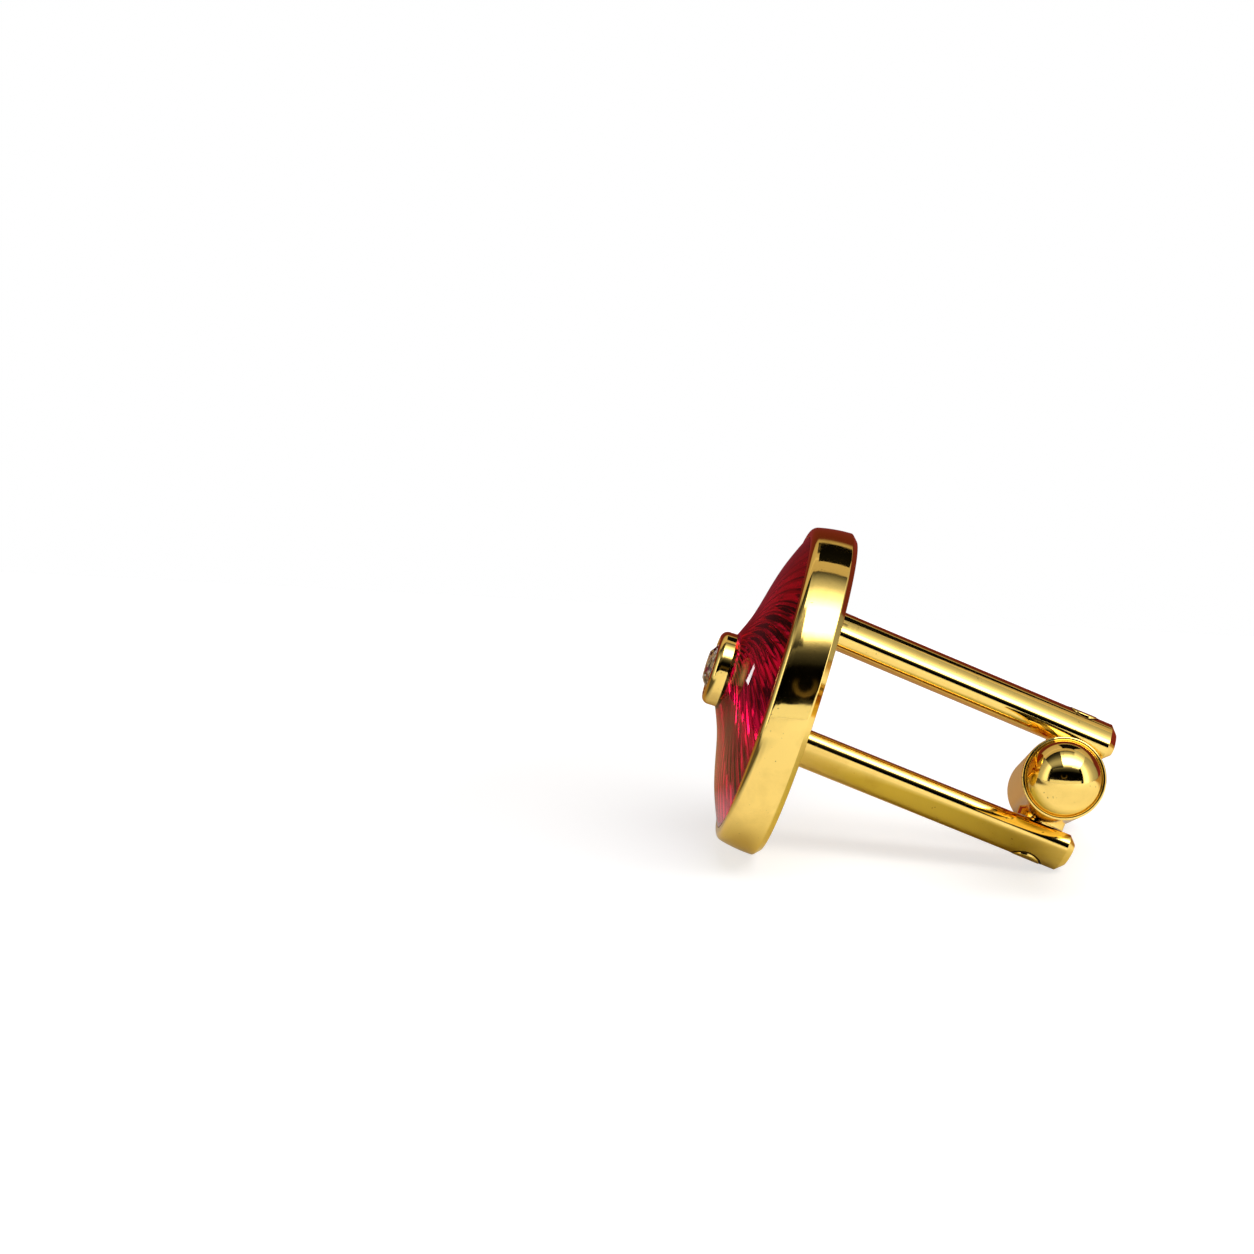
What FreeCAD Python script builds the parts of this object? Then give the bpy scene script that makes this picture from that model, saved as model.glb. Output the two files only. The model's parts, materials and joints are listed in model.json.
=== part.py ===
import FreeCAD, Part
import math
import os

os.makedirs("parts", exist_ok=True)

Vector = FreeCAD.Vector

# The cufflink is built in its own square frame and then laid down the way it rests on a table.
# In the square frame X runs from the face to the back, Y along the toggle and Z along the pivot pin.
# The plane of the rim's lip is X = 0. All lengths are in millimetres and all angles in degrees.

# General fits
fit_clearance = 0.02
running_clearance = 0.02
cut_overrun = 1.0

# Rim: lip, flared band and rear bevel, with a ledge inside that carries the dial plate
dial_radius = 7.75
lip_width = 0.64
shoulder_depth = 0.5
shoulder_bulge_share = 0.67
band_flare = 0.18
rear_bevel = 0.3
rear_land = 0.2
ledge_width = 0.35
ledge_thickness = 1.05
edge_round = 0.1

# Enamel and the engine-turned plate under it
enamel_thickness = 0.3
dial_plate_thickness = 0.45
plate_overlap = 0.15
dial_rise = 1.95
dial_place_shares = (1.0, 0.72, 0.415, 0.18, 0.0)
dial_rise_shares = (0.0, 0.341, 0.588, 0.78, 1.0)

# Swirl cut into the plate: spiral grooves that get deeper outwards, with a narrow land between two of them
swirl_lines = 52
swirl_bend_share = 0.72
swirl_depth = 0.155
swirl_land_share = 0.16
swirl_deepest_share = 0.72
swirl_margin = 0.1
swirl_overrun = 0.02
swirl_sections = 9

# Stone: a round brilliant cut
stone_radius = 1.2
stone_table_share = 0.58
stone_girdle = 0.06
crown_slope = 36.0
star_slope = 23.0
upper_girdle_slope = 42.5
pavilion_slope = 40.75
lower_girdle_slope = 42.0
main_facets = 8
half_step_share = 0.5
pyramid_spread_share = 2.0

# Collet round the stone, its stem and what holds it behind the dial plate
collet_lip = 0.13
collet_groove_width = 0.12
collet_groove_depth = 0.2
collet_crest = 0.06
collet_edge_round = 0.41
collet_height = 0.8
stem_radius = 0.7
stem_wall = 0.25
stem_tail = 0.2
stone_tip_room = 0.05
washer_band = 0.6
washer_thickness = 0.15
nut_wall = 0.4
nut_thickness = 0.6
nut_sides = 6

# Back plate
back_plate_thickness = 0.5
back_plate_sink = 0.05

# Shank: two oval posts, flatter towards the toggle. They stand a few degrees off square and close in slightly
# towards the toggle, as in the photograph.
post_width = 3.0
post_inner_dome = 0.68
post_outer_dome = 1.25
post_root = 0.2
post_end_round = 0.45
post_end_steps = 4
post_tail = 1.95
pivot_along = 15.83
post_lean_deg = 5.0
post_closing_deg = 0.4

# Pivot pin and bushes
pin_radius = 0.75
bush_wall = 0.5
bush_gap = 0.05

# Toggle: tube, end balls and the click mechanism inside
ball_radius = 1.85
ball_spacing = 15.6
ball_lip = 0.16
barrel_post_gap = 0.05
ball_seat = 0.3
mouth_overlap = 0.25
spigot_reach = 0.1
toggle_turn_deg = -7.9
cam_wall = 0.2
cam_corner = 0.2
cam_end_room = 0.15
plunger_play = 0.05
plunger_length = 2.3
plunger_nose_length = 0.45
plunger_wall = 0.55
plunger_floor = 1.0
spring_wire = 0.3
spring_turn_gap = 0.24
spring_side_room = 0.2
spring_seat_room = 0.06

# Lie on the table: how far the first guess of the down direction leans towards the left end of the toggle
resting_side_share = 0.33

# Sizes worked out from the ones above
shoulder_radius = dial_radius + lip_width
rim_radius = shoulder_radius + band_flare
ledge_depth = enamel_thickness + dial_plate_thickness
rim_depth = ledge_depth + ledge_thickness + back_plate_thickness + back_plate_sink
back_front = rim_depth - back_plate_sink - back_plate_thickness
back_seat_radius = rim_radius - rear_bevel - rear_land
dial_seat_radius = dial_radius + plate_overlap
collet_seat = -(dial_rise - enamel_thickness)
collet_top = -(dial_rise + collet_height)
collet_lip_radius = stone_radius + collet_lip
collet_groove_radius = collet_lip_radius + collet_groove_width
collet_crest_radius = collet_groove_radius + collet_crest
collet_radius = collet_crest_radius + collet_edge_round
girdle_top = collet_top + collet_lip * math.tan(math.radians(crown_slope))
girdle_bottom = girdle_top + stone_girdle
stem_hole_radius = stem_radius - stem_wall
barrel_radius = ball_radius + fit_clearance + ball_lip
post_half_gap = barrel_radius + barrel_post_gap
post_widest = post_half_gap + post_inner_dome
post_half_outer = post_widest + post_outer_dome
post_end = pivot_along + post_tail
bush_radius = pin_radius + bush_wall
bore_radius = ball_radius - ball_seat
ball_centre = ball_spacing / 2
ball_seat_setback = math.sqrt(ball_radius ** 2 - bore_radius ** 2)
cam_flat = pin_radius + cam_wall
cam_corner_radius = cam_flat + cam_corner
cam_half_height = math.sqrt(bore_radius ** 2 - cam_corner_radius ** 2) - cam_end_room
bush_inner = cam_half_height + running_clearance + bush_gap
bush_outer = post_half_gap - bush_gap
plunger_face = cam_corner_radius + fit_clearance
plunger_tail = plunger_face + plunger_length
plunger_pocket_depth = plunger_length - plunger_floor
plunger_pocket_radius = bore_radius - plunger_play - plunger_wall
spring_mean_radius = plunger_pocket_radius - spring_side_room - spring_wire / 2
spigot_inner = ball_centre - ball_radius - spigot_reach

origin = Vector(0, 0, 0)
along_x = Vector(1, 0, 0)
along_y = Vector(0, 1, 0)
along_z = Vector(0, 0, 1)


def rod(radius, length, base, direction):
    return Part.makeCylinder(radius, length, base, direction)


def line_edges(points):
    pairs = zip(points, points[1:])
    return [Part.LineSegment(a, b).toShape() for a, b in pairs]


def turned(edges, axis):
    face = Part.Face(Part.Wire(edges))
    return face.revolve(origin, axis, 360)


def at(along, radius):
    return Vector(along, radius, 0)


def round_circles(solid, radius, wanted):
    edges = [e for e in solid.Edges if wanted(e)]
    return solid.makeFillet(radius, edges)


def is_circle(edge, radius, along):
    curve = edge.Curve
    if not isinstance(curve, Part.Circle):
        return False
    same_radius = abs(curve.Radius - radius) < edge_round
    return same_radius and abs(curve.Center.x - along) < edge_round


# Rim: one turned ring, rounded in front from the lip to the shoulder
def make_rim():
    lip = at(0, dial_radius)
    shoulder = at(shoulder_depth, shoulder_radius)
    bulge = at(shoulder_depth * (1 - shoulder_bulge_share), dial_radius + lip_width * shoulder_bulge_share)
    band_end = at(rim_depth - rear_bevel, rim_radius)
    front = Part.Arc(lip, bulge, shoulder).toShape()
    rest = line_edges([
        shoulder,
        band_end,
        at(rim_depth, rim_radius - rear_bevel),
        at(rim_depth, back_seat_radius),
        at(back_front, back_seat_radius),
        at(back_front, dial_radius - ledge_width),
        at(ledge_depth, dial_radius - ledge_width),
        at(ledge_depth, dial_seat_radius),
        at(enamel_thickness, dial_seat_radius),
        at(enamel_thickness, dial_radius),
        lip,
    ])
    ring = turned([front] + rest, along_x)
    return round_circles(ring, edge_round, lambda e: is_circle(e, rim_radius, rim_depth - rear_bevel))


# The trumpet curve of the dial, from the lip up to the collet, moved back by a depth
def dial_curve(depth, outer_radius):
    inner_radius = collet_radius + fit_clearance
    points = []
    for place, rise in zip(dial_place_shares, dial_rise_shares):
        radius = inner_radius + place * (outer_radius - inner_radius)
        points.append(at(depth - rise * dial_rise, radius))
    curve = Part.BSplineCurve()
    curve.interpolate(points)
    return curve.toShape(), points[0], points[-1]


# Dial plate: pressed sheet with the same curve, a flat flange under the lip and a flat seat for the collet
def make_dial_plate():
    outer_radius = dial_radius - fit_clearance
    flange_radius = dial_seat_radius - fit_clearance
    back_depth = enamel_thickness + dial_plate_thickness
    front, front_edge, front_top = dial_curve(enamel_thickness, outer_radius)
    back, back_edge, back_top = dial_curve(back_depth, outer_radius)
    hole = stem_radius + fit_clearance
    centre = line_edges([
        front_top,
        at(front_top.x, hole),
        at(back_top.x, hole),
        back_top,
    ])
    flange = line_edges([
        back_edge,
        at(back_edge.x, flange_radius),
        at(front_edge.x, flange_radius),
        front_edge,
    ])
    sheet = turned([front] + centre + [back] + flange, along_x)
    return sheet.cut(swirl_cutters(front))


# Section of a groove of the swirl at a point of the plate's curve: the two edges lie just above the plate
def swirl_section(point):
    line_turn = 2 * math.pi / swirl_lines
    bend = swirl_bend_share * math.log(point.y / dial_radius)
    depth = swirl_depth * point.y / dial_radius
    corners = []
    for share, sink in (
        (swirl_land_share / 2, -swirl_overrun),
        (1 - swirl_land_share / 2, -swirl_overrun),
        (swirl_deepest_share, depth),
    ):
        angle = bend + share * line_turn
        corners.append(Vector(point.x + sink, point.y * math.cos(angle), point.y * math.sin(angle)))
    return Part.Wire(line_edges(corners + corners[:1]))


# All grooves of the swirl, between the lip and the collet
def swirl_cutters(curve):
    sections = []
    for i in range(swirl_sections):
        share = i / (swirl_sections - 1)
        along = swirl_margin + share * (curve.Length - 2 * swirl_margin)
        sections.append(swirl_section(curve.valueAt(curve.getParameterByLength(along))))
    groove = Part.makeLoft(sections, True, False)
    grooves = []
    for i in range(swirl_lines):
        turned_groove = groove.copy()
        turned_groove.rotate(origin, along_x, i * 360 / swirl_lines)
        grooves.append(turned_groove)
    return grooves


# Enamel: lies on the plate inside the lip and fills the swirl
def make_enamel(dial_plate):
    outer_radius = dial_radius - fit_clearance
    front, front_edge, front_top = dial_curve(0, outer_radius)
    back, back_edge, back_top = dial_curve(enamel_thickness + dial_plate_thickness / 2, outer_radius)
    sides = line_edges([front_top, back_top]) + line_edges([back_edge, front_edge])
    return turned([front, sides[0], back, sides[1]], along_x).cut(dial_plate)


# Collet: cup with a rounded outer ring, a groove, a thin inner lip and a cone under the stone, whose girdle
# lies just under that lip
def make_collet():
    seat_radius = stone_radius + fit_clearance
    cone_slope = math.tan(math.radians(pavilion_slope))
    cone_end = girdle_bottom + fit_clearance + (seat_radius - stem_hole_radius) * cone_slope
    hole_end = cone_end + stem_hole_radius * cone_slope + stone_tip_room
    stem_end = collet_seat + dial_plate_thickness + washer_thickness + nut_thickness + stem_tail
    ring_start = at(collet_top + collet_edge_round, collet_radius)
    ring_crest = at(collet_top, collet_crest_radius)
    groove_side = collet_groove_width / 2
    groove = at(collet_top + collet_groove_depth, collet_groove_radius)
    diagonal_share = math.sqrt(1 / 2)
    ring_middle = at(
        collet_top + collet_edge_round * (1 - diagonal_share),
        collet_crest_radius + collet_edge_round * diagonal_share,
    )
    ring = Part.Arc(ring_start, ring_middle, ring_crest).toShape()
    inside = line_edges([
        ring_crest,
        groove,
        at(collet_top + groove_side, collet_lip_radius + groove_side),
        at(collet_top, collet_lip_radius),
        at(girdle_top, seat_radius),
        at(girdle_bottom + fit_clearance, seat_radius),
        at(cone_end, stem_hole_radius),
        at(hole_end, stem_hole_radius),
        at(hole_end, 0),
        at(stem_end, 0),
        at(stem_end, stem_radius),
        at(collet_seat, stem_radius),
        at(collet_seat, collet_radius),
        ring_start,
    ])
    return turned([ring] + inside, along_x)


# One cone of flat facets: a pyramid whose sides pass the girdle plane at a given distance from the axis
def facet_pyramid(sides, turn_share, slope, apothem, level, towards_face):
    height = apothem * math.tan(math.radians(slope)) * (-1 if towards_face else 1)
    corner = pyramid_spread_share * apothem / math.cos(math.pi / sides)
    base_level = level + height * (1 - pyramid_spread_share)
    tip_level = level + height
    corners = []
    for i in range(sides + 1):
        angle = 2 * math.pi * (i + turn_share) / sides
        corners.append(Vector(base_level, corner * math.cos(angle), corner * math.sin(angle)))
    base = Part.Wire(line_edges(corners))
    tip = Part.Vertex(Vector(tip_level, 0, 0))
    return Part.makeLoft([base, tip], True, True)


# Stone: what its facet pyramids, its girdle and its table have in common
def make_stone():
    table_radius = stone_radius * stone_table_share
    half_turn = math.pi / main_facets
    narrow = stone_radius * math.cos(half_turn / 2)
    table_apothem = table_radius * math.cos(half_turn)
    crown_height = (stone_radius - table_radius) * math.tan(math.radians(crown_slope))
    star_apothem = table_apothem + crown_height / math.tan(math.radians(star_slope))
    body_length = crown_height + stone_girdle + stone_radius
    stone = rod(stone_radius, body_length, Vector(girdle_top - crown_height, 0, 0), along_x)
    cuts = [
        (main_facets, half_step_share, crown_slope, stone_radius, girdle_top, True),
        (main_facets, 0, star_slope, star_apothem, girdle_top, True),
        (2 * main_facets, 0, upper_girdle_slope, narrow, girdle_top, True),
        (main_facets, half_step_share, pavilion_slope, stone_radius, girdle_bottom, False),
        (2 * main_facets, 0, lower_girdle_slope, narrow, girdle_bottom, False),
    ]
    for cut in cuts:
        stone = stone.common(facet_pyramid(*cut))
    return stone.Solids[0]


def make_collet_washer():
    base = Vector(collet_seat + dial_plate_thickness, 0, 0)
    disc = rod(stem_radius + washer_band, washer_thickness, base, along_x)
    hole = rod(stem_radius + fit_clearance, washer_thickness, base, along_x)
    return disc.cut(hole)


def make_collet_nut():
    base = Vector(collet_seat + dial_plate_thickness + washer_thickness, 0, 0)
    corner = (stem_radius + nut_wall) / math.cos(math.pi / nut_sides)
    corners = []
    for i in range(nut_sides + 1):
        angle = 2 * math.pi * i / nut_sides
        corners.append(base + Vector(0, corner * math.cos(angle), corner * math.sin(angle)))
    block = Part.Face(Part.Wire(line_edges(corners))).extrude(along_x * nut_thickness)
    hole = rod(stem_radius + fit_clearance, nut_thickness, base, along_x)
    return block.cut(hole)


# The shank leans about the middle of its free length
def lean(shape):
    leaned = shape.copy()
    middle = Vector((rim_depth + pivot_along) / 2, 0, 0)
    leaned.rotate(middle, along_y, post_lean_deg)
    return leaned


# Half of an oval, round the pin's direction, from a stretched half circle
def half_oval(half_width, height):
    arc = Part.Arc(along_y * -1, along_z, along_y).toShape()
    stretch = FreeCAD.Matrix()
    stretch.scale(1, half_width, height)
    return arc.transformGeometry(stretch)


# Section of a post at a place along it, grown outwards by an amount, on the upper (1) or lower (-1) side: two half
# ovals that meet at its widest line
def post_section(along, grow, side):
    half_width = post_width / 2 + grow
    outer = half_oval(half_width, side * (post_outer_dome + grow))
    inner = half_oval(half_width, -side * (post_inner_dome + grow))
    section = Part.Wire([outer, inner])
    section.translate(Vector(along, 0, side * post_widest))
    return section


# The posts close in towards the toggle, each about the pivot
def close_in(shape, side):
    closed = shape.copy()
    closed.rotate(Vector(pivot_along, 0, 0), along_y, side * post_closing_deg)
    return closed


# Post: straight bar with a rounded end and a cross hole for the pin
def make_post(side):
    start = back_front - post_root
    round_start = post_end - post_end_round
    bar = Part.Face(post_section(start, 0, side)).extrude(along_x * (round_start - start))
    end_sections = []
    for i in range(post_end_steps + 1):
        angle = math.pi / 2 * i / post_end_steps
        along = round_start + post_end_round * math.sin(angle)
        end_sections.append(post_section(along, post_end_round * (math.cos(angle) - 1), side))
    end = Part.makeLoft(end_sections, True, True)
    reach = post_half_outer + cut_overrun
    hole = rod(pin_radius + fit_clearance, 2 * reach, Vector(pivot_along, 0, -reach), along_z)
    return lean(close_in(bar.fuse(end).removeSplitter(), side).cut(hole))


# Back plate: disc in the rear of the rim, pierced for the two posts
def make_back_plate():
    radius = back_seat_radius - fit_clearance
    plate = rod(radius, back_plate_thickness, Vector(back_front, 0, 0), along_x)
    for side in (1, -1):
        start = back_front - cut_overrun
        slot = Part.Face(post_section(start, fit_clearance, side))
        slot = slot.extrude(along_x * (back_plate_thickness + 2 * cut_overrun))
        plate = plate.cut(lean(close_in(slot, side)))
    return plate


# Pivot pin: both ends follow the round outer sides of the posts
def make_pivot_pin():
    half_width = post_width / 2
    reach = cut_overrun + pin_radius
    top = half_oval(half_width, post_outer_dome)
    top.translate(along_z * post_widest)
    bottom = half_oval(half_width, -post_outer_dome)
    bottom.translate(along_z * -post_widest)
    left = line_edges([Vector(0, -half_width, post_widest), Vector(0, -half_width, -post_widest)])
    right = line_edges([Vector(0, half_width, -post_widest), Vector(0, half_width, post_widest)])
    outline = Part.Wire(left + [bottom] + right + [top])
    outline.translate(along_x * (pivot_along - reach))
    envelope = Part.Face(outline).extrude(along_x * (2 * reach))
    pin = rod(pin_radius, 2 * post_half_outer, Vector(pivot_along, 0, -post_half_outer), along_z)
    return lean(pin.common(envelope).Solids[0])


# Pieces of the toggle are drawn round the pivot, turned to where they click, moved to the pivot and leaned
def place_toggle(shape):
    placed = shape.copy()
    placed.rotate(origin, along_z, toggle_turn_deg)
    placed.translate(Vector(pivot_along, 0, 0))
    return lean(placed)


# Tube with a counterbored mouth at both ends and cross holes for the bushes
def make_toggle_barrel():
    mouth = ball_centre + mouth_overlap
    tube = rod(barrel_radius, 2 * mouth, Vector(0, -mouth, 0), along_y)
    tube = tube.cut(rod(bore_radius, 2 * mouth, Vector(0, -mouth, 0), along_y))
    seat = ball_centre - ball_seat_setback
    for side in (1, -1):
        base = Vector(0, side * seat, 0)
        tube = tube.cut(rod(ball_radius + fit_clearance, mouth - seat, base, along_y * side))
        tube = tube.cut(rod(bush_radius + fit_clearance, barrel_radius, origin, along_z * side))
    return place_toggle(tube)


# End ball with the spigot that is pressed into the tube
def make_end_ball(side):
    ball = Part.makeSphere(ball_radius, Vector(0, side * ball_centre, 0))
    base = Vector(0, side * spigot_inner, 0)
    spigot = rod(bore_radius - fit_clearance, ball_centre - spigot_inner, base, along_y * side)
    return place_toggle(ball.fuse(spigot).removeSplitter())


def make_pivot_bush(side):
    base = Vector(0, 0, side * bush_inner)
    bush = rod(bush_radius, bush_outer - bush_inner, base, along_z * side)
    bore = rod(pin_radius + running_clearance, bush_outer - bush_inner, base, along_z * side)
    return place_toggle(bush.cut(bore))


# Square block with rounded corners, fixed on the pin
def make_detent_cam():
    corner = Vector(-cam_flat, -cam_flat, -cam_half_height)
    block = Part.makeBox(2 * cam_flat, 2 * cam_flat, 2 * cam_half_height, corner)
    base = Vector(0, 0, -cam_half_height)
    block = block.common(rod(cam_corner_radius, 2 * cam_half_height, base, along_z))
    bore = rod(pin_radius + fit_clearance, 2 * cam_half_height, base, along_z)
    return place_toggle(block.cut(bore))


# Plunger: narrow nose towards the cam, guide in the tube, pocket for the spring. It is drawn where a cam
# corner holds it back.
def make_detent_plunger(side):
    guide_start = plunger_face + plunger_nose_length
    nose = rod(cam_half_height, plunger_nose_length, Vector(0, side * plunger_face, 0), along_y * side)
    guide_base = Vector(0, side * guide_start, 0)
    guide = rod(bore_radius - plunger_play, plunger_tail - guide_start, guide_base, along_y * side)
    pocket_base = Vector(0, side * (plunger_tail - plunger_pocket_depth), 0)
    pocket = rod(plunger_pocket_radius, plunger_pocket_depth, pocket_base, along_y * side)
    return place_toggle(nose.fuse(guide).removeSplitter().cut(pocket))


# Coil spring from the bottom of the plunger's pocket to the ball's spigot
def make_detent_spring(side):
    start = plunger_tail - plunger_pocket_depth + spring_wire / 2 + spring_seat_room
    end = spigot_inner - spring_wire / 2 - spring_seat_room
    length = end - start
    turns = int(length / (spring_wire + spring_turn_gap))
    path = Part.makeHelix(length / turns, length, spring_mean_radius)
    direction = path.Edges[0].tangentAt(path.Edges[0].FirstParameter)
    ring = Part.Circle(path.Edges[0].Vertexes[0].Point, direction, spring_wire / 2).toShape()
    coil = Part.Wire(path.Edges).makePipeShell([Part.Wire([ring])], True, True)
    coil.rotate(origin, along_x, -90)
    coil.translate(Vector(0, start, 0))
    if side < 0:
        coil.rotate(origin, along_z, 180)
    return place_toggle(coil)


# How the cufflink lies: on the rim, the end of the lower post and the left mouth of the tube. The three contact
# points are found by turning the down direction until the plane through them has no shift left.
def resting_turn(pieces, steps=40, mesh_share=0.002):
    clouds = []
    for name in ("rim", "lower_post", "toggle_barrel"):
        clouds.append(pieces[name].tessellate(mesh_share * rim_radius)[0])
    down = along_y * resting_side_share - along_z
    for _ in range(steps):
        contacts = [max(cloud, key=lambda point: point.dot(down)) for cloud in clouds]
        normal = (contacts[1] - contacts[0]).cross(contacts[2] - contacts[0])
        normal.normalize()
        down = normal if normal.z < 0 else normal * -1
    lay_flat = FreeCAD.Rotation(down, along_z * -1)
    heading = lay_flat.multVec(along_x)
    face_back = FreeCAD.Rotation(along_z, -math.degrees(math.atan2(heading.y, heading.x)))
    return face_back.multiply(lay_flat)


# The origin is the middle of the bottom of the whole part's box
def resting_place(pieces):
    turn = resting_turn(pieces)
    whole = Part.makeCompound(list(pieces.values()))
    whole.Placement = FreeCAD.Placement(origin, turn)
    box = whole.optimalBoundingBox(False, False)
    shift = Vector(-box.Center.x, -box.Center.y, -box.ZMin)
    return FreeCAD.Placement(shift, turn)


def make_pieces():
    dial_plate = make_dial_plate()
    pieces = {
        "rim": make_rim(),
        "back_plate": make_back_plate(),
        "dial_plate": dial_plate,
        "enamel": make_enamel(dial_plate),
        "stone_collet": make_collet(),
        "stone": make_stone(),
        "collet_washer": make_collet_washer(),
        "collet_nut": make_collet_nut(),
        "upper_post": make_post(1),
        "lower_post": make_post(-1),
        "pivot_pin": make_pivot_pin(),
        "detent_cam": make_detent_cam(),
        "toggle_barrel": make_toggle_barrel(),
        "pivot_bush_upper": make_pivot_bush(1),
        "pivot_bush_lower": make_pivot_bush(-1),
    }
    for name, side in (("left", 1), ("right", -1)):
        pieces["end_ball_" + name] = make_end_ball(side)
        pieces["detent_plunger_" + name] = make_detent_plunger(side)
        pieces["detent_spring_" + name] = make_detent_spring(side)
    return pieces


pieces = make_pieces()
place = resting_place(pieces)
for name, shape in pieces.items():
    laid = shape.copy()
    laid.Placement = place.multiply(laid.Placement)
    laid.exportStep("parts/" + name + ".step")
    print(name, "valid", laid.isValid(), "solids", len(laid.Solids), "volume", round(laid.Volume, 4))
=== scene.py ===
import bpy
import json
import math
import numpy as np
from mathutils import Matrix


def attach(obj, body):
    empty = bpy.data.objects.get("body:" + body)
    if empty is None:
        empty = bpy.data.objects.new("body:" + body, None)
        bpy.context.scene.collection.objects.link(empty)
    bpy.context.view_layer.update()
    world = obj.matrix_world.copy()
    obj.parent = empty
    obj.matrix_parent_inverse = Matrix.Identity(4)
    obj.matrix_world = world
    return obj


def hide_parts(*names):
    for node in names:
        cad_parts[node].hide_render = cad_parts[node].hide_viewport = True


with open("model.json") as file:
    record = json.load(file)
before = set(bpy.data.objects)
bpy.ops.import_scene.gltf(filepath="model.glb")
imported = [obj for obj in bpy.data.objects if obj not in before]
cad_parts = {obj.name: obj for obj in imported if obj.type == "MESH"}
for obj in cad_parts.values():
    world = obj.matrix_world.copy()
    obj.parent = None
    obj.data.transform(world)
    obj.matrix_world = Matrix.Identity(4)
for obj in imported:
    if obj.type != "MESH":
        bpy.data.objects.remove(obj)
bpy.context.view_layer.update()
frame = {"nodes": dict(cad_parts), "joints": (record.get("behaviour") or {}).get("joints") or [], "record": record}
mm = 0.001
nodes = frame["nodes"]
record = frame["record"]
mounts = {m["name"]: m for m in record["mounts"]}
joints = {j["name"]: j for j in frame["joints"]}
print("frame loaded:", len(nodes), "nodes")


# axes of a piece from two directions: the first is kept, the second squared to it, the third across both
def squareFrame(origin, first, second):
    x = np.asarray(first, float) / np.linalg.norm(first)
    z = np.asarray(second, float)
    z = z - x * z.dot(x)
    z = z / np.linalg.norm(z)
    return {"origin": np.asarray(origin, float), "x": x, "y": np.cross(z, x), "z": z}


rimDepth = 2.35              # from the dial's lip to the face that lies on the cuff
pinAxis = np.array(joints["toggle_swivel"]["axis"])
pivot = np.array(joints["toggle_swivel"]["pos_m"])
headAxis = np.array(mounts["cuff_face"]["axis"])
headOrigin = np.array(mounts["cuff_face"]["pos_m"]) - headAxis * rimDepth * mm
toggleAxis = np.array(mounts["toggle"]["axis"])
headFrame = squareFrame(headOrigin, headAxis, pinAxis)       # x from the face to the back, z along the pin
shankFrame = squareFrame(pivot, mounts["shank"]["axis"], pinAxis)
toggleFrame = squareFrame(pivot, toggleAxis, pinAxis)        # x along the toggle


# directions in a piece's own axes, as arrays, to directions in the row frame
def turnedTo(where, along, across, up):
    along, across, up = np.broadcast_arrays(along, across, up)
    return along[..., None] * where["x"] + across[..., None] * where["y"] + up[..., None] * where["z"]


# places in a piece's own millimetres, as arrays, to places in the row frame in metres
def placed(where, along, across, up):
    return where["origin"] + turnedTo(where, along, across, up) * mm


# a grid of points as a mesh: rows run along the piece and columns round it; a pole row becomes one point
def surfaceMesh(name, grid, normals=None, closedRows=False, poleStart=False, poleEnd=False):
    rows, columns = grid.shape[:2]
    index = np.arange(rows * columns).reshape(rows, columns)
    if poleStart:
        index[0] = index[0, 0]
    if poleEnd:
        index[-1] = index[-1, 0]
    if closedRows:
        index = np.vstack([index, index[:1]])
    across = np.roll(index, -1, axis=1)
    quads = np.stack([index[:-1], across[:-1], across[1:], index[1:]], -1)
    faces = [quads[int(poleStart):len(quads) - int(poleEnd)].reshape(-1, 4)]
    if poleStart:
        faces.append(quads[0][:, [0, 2, 3]])
    if poleEnd:
        faces.append(quads[-1][:, [0, 1, 2]])
    used, loops = np.unique(np.concatenate([f.ravel() for f in faces]), return_inverse=True)
    sizes = np.concatenate([np.full(len(f), f.shape[1]) for f in faces])
    starts = np.cumsum(sizes) - sizes
    points = grid.reshape(-1, 3)[used]
    mesh = bpy.data.meshes.new(name)
    mesh.vertices.add(len(points))
    mesh.vertices.foreach_set("co", points.astype(np.float32).ravel())
    mesh.loops.add(len(loops))
    mesh.loops.foreach_set("vertex_index", loops.astype(np.int32))
    mesh.polygons.add(len(sizes))
    mesh.polygons.foreach_set("loop_start", starts.astype(np.int32))
    mesh.update(calc_edges=True)
    mesh.validate()
    mesh.polygons.foreach_set("use_smooth", np.ones(len(sizes), bool))
    if normals is not None:
        wanted = normals.reshape(-1, 3)[used]
        if facesLookInward(mesh, wanted):
            mesh.flip_normals()
        mesh.normals_split_custom_set_from_vertices(wanted.tolist())
    mesh.update()
    return mesh


def facesLookInward(mesh, wanted):
    count = len(mesh.polygons)
    faceNormals = np.empty(count * 3, np.float32)
    mesh.polygons.foreach_get("normal", faceNormals)
    corners = np.empty(len(mesh.loops), np.int32)
    mesh.loops.foreach_get("vertex_index", corners)
    starts = np.empty(count, np.int32)
    mesh.polygons.foreach_get("loop_start", starts)
    return (faceNormals.reshape(-1, 3) * wanted[corners[starts]]).sum() < 0


def newPiece(name, mesh, body, material, stands=()):
    piece = bpy.data.objects.new(name, mesh)
    bpy.context.scene.collection.objects.link(piece)
    mesh.materials.append(material)
    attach(piece, body)
    if stands:
        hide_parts(*stands)
    return piece


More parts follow.
